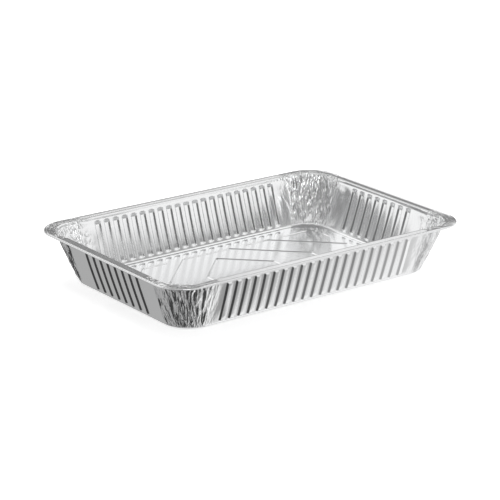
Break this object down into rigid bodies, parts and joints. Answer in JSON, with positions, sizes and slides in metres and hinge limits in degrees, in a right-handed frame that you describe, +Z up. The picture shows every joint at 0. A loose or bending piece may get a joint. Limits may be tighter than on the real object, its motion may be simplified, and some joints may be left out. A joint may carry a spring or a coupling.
{
  "type": "foil roasting pan",
  "caption": "Rectangular one-piece foil roasting pan with fluted sloping walls, gathered corners, a curled rim and a beaded flat base.",
  "frame": {"origin": "centre of the pan's footprint, on the underside of the base", "axes": "+X along the pan's length, +Y across its width, +Z up through the open top"},
  "size_m": [0.33, 0.228, 0.0483],
  "materials": {
    "foil": "bright rolled foil, finely wrinkled at the corners"
  },
  "bodies": {
    "root": {"pan": "foil"}
  },
  "joints": []
}
